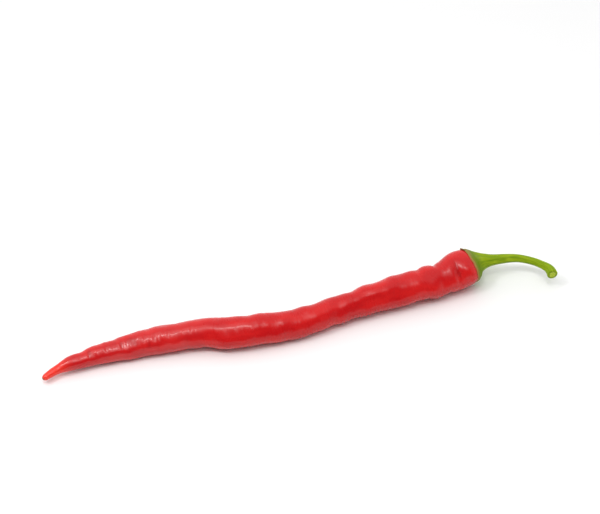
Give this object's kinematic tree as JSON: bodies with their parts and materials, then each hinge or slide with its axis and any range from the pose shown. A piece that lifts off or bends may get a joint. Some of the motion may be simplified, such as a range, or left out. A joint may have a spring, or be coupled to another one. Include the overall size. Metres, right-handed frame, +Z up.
{
  "type": "pepperoncini",
  "caption": "Long slim wavy pepper lying on its side: a glossy pod that narrows to a fine tip, with a toothed calyx at its crown and a thin curved stem.",
  "frame": {"origin": "on the surface the pepper lies on, under the centre of its bounding box", "axes": "+X along the pod from its tip to its crown and stem, +Z up; the stem curves round towards -Y at its cut end"},
  "size_m": [0.2118, 0.0225, 0.0156],
  "materials": {
    "red_skin": "smooth glossy waxy red skin, a little paler and more orange at the tip",
    "green_stem": "matt yellow-green stem with fine lengthwise fibres, darker green calyx"
  },
  "bodies": {
    "root": {"pod": "red_skin", "calyx_and_stem": "green_stem"}
  },
  "joints": []
}
